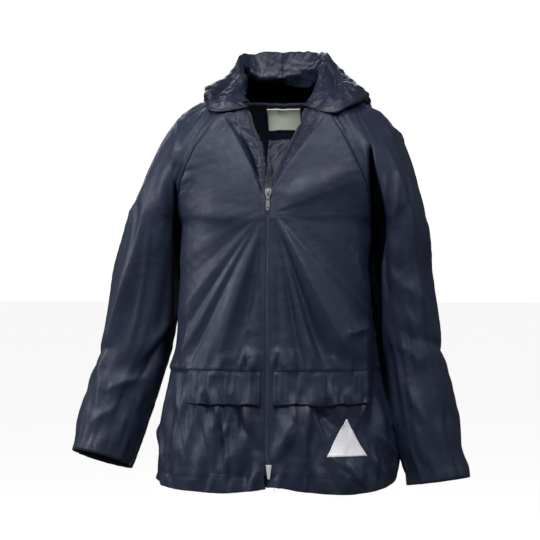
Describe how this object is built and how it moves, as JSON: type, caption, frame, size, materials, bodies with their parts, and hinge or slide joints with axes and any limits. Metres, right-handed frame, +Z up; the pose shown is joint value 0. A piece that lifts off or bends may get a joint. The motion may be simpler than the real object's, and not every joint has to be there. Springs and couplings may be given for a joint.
{
  "type": "child's hooded rain jacket",
  "caption": "Hollow raglan rain jacket as worn, hood lowered, front zip open to the chest, two pocket flaps.",
  "frame": {"origin": "middle of the neck base, level with the shoulders' neck points, where the wearer's shoulders carry the jacket", "axes": "+Z up, -Y the way the wearer faces, +X the wearer's left"},
  "size_m": [0.5518, 0.253, 0.6155],
  "materials": {
    "shell": "coated plain-weave nylon, navy",
    "hood": "coated plain-weave nylon, navy, crumpled",
    "zip_tape": "woven tape, matt",
    "zip_metal": "nickel plated zinc",
    "zip_plastic": "moulded acetal",
    "reflective": "retroreflective film on cloth",
    "label": "woven label, blank"
  },
  "bodies": {
    "jacket": {"back": "shell", "front_right": "shell", "front_left": "shell", "sleeve_right": "shell", "sleeve_left": "shell", "hood_right": "hood", "hood_left": "hood", "pocket_flap_right": "shell", "pocket_flap_left": "shell", "zip_tape_right": "zip_tape", "zip_tape_left": "zip_tape", "zip_guard": "shell", "zip_slider": "zip_metal", "zip_box": "zip_plastic", "reflective_triangle": "reflective", "neck_label": "label"},
    "pull_tab": {"zip_pull_tab": "zip_metal"}
  },
  "joints": [
    {"name": "pull_tab_hinge", "type": "hinge", "parent": "jacket", "child": "pull_tab", "pos_m": [0, -0.10702, -0.1166], "axis": [-1, 0, 0], "range_deg": [0, 160]}
  ]
}
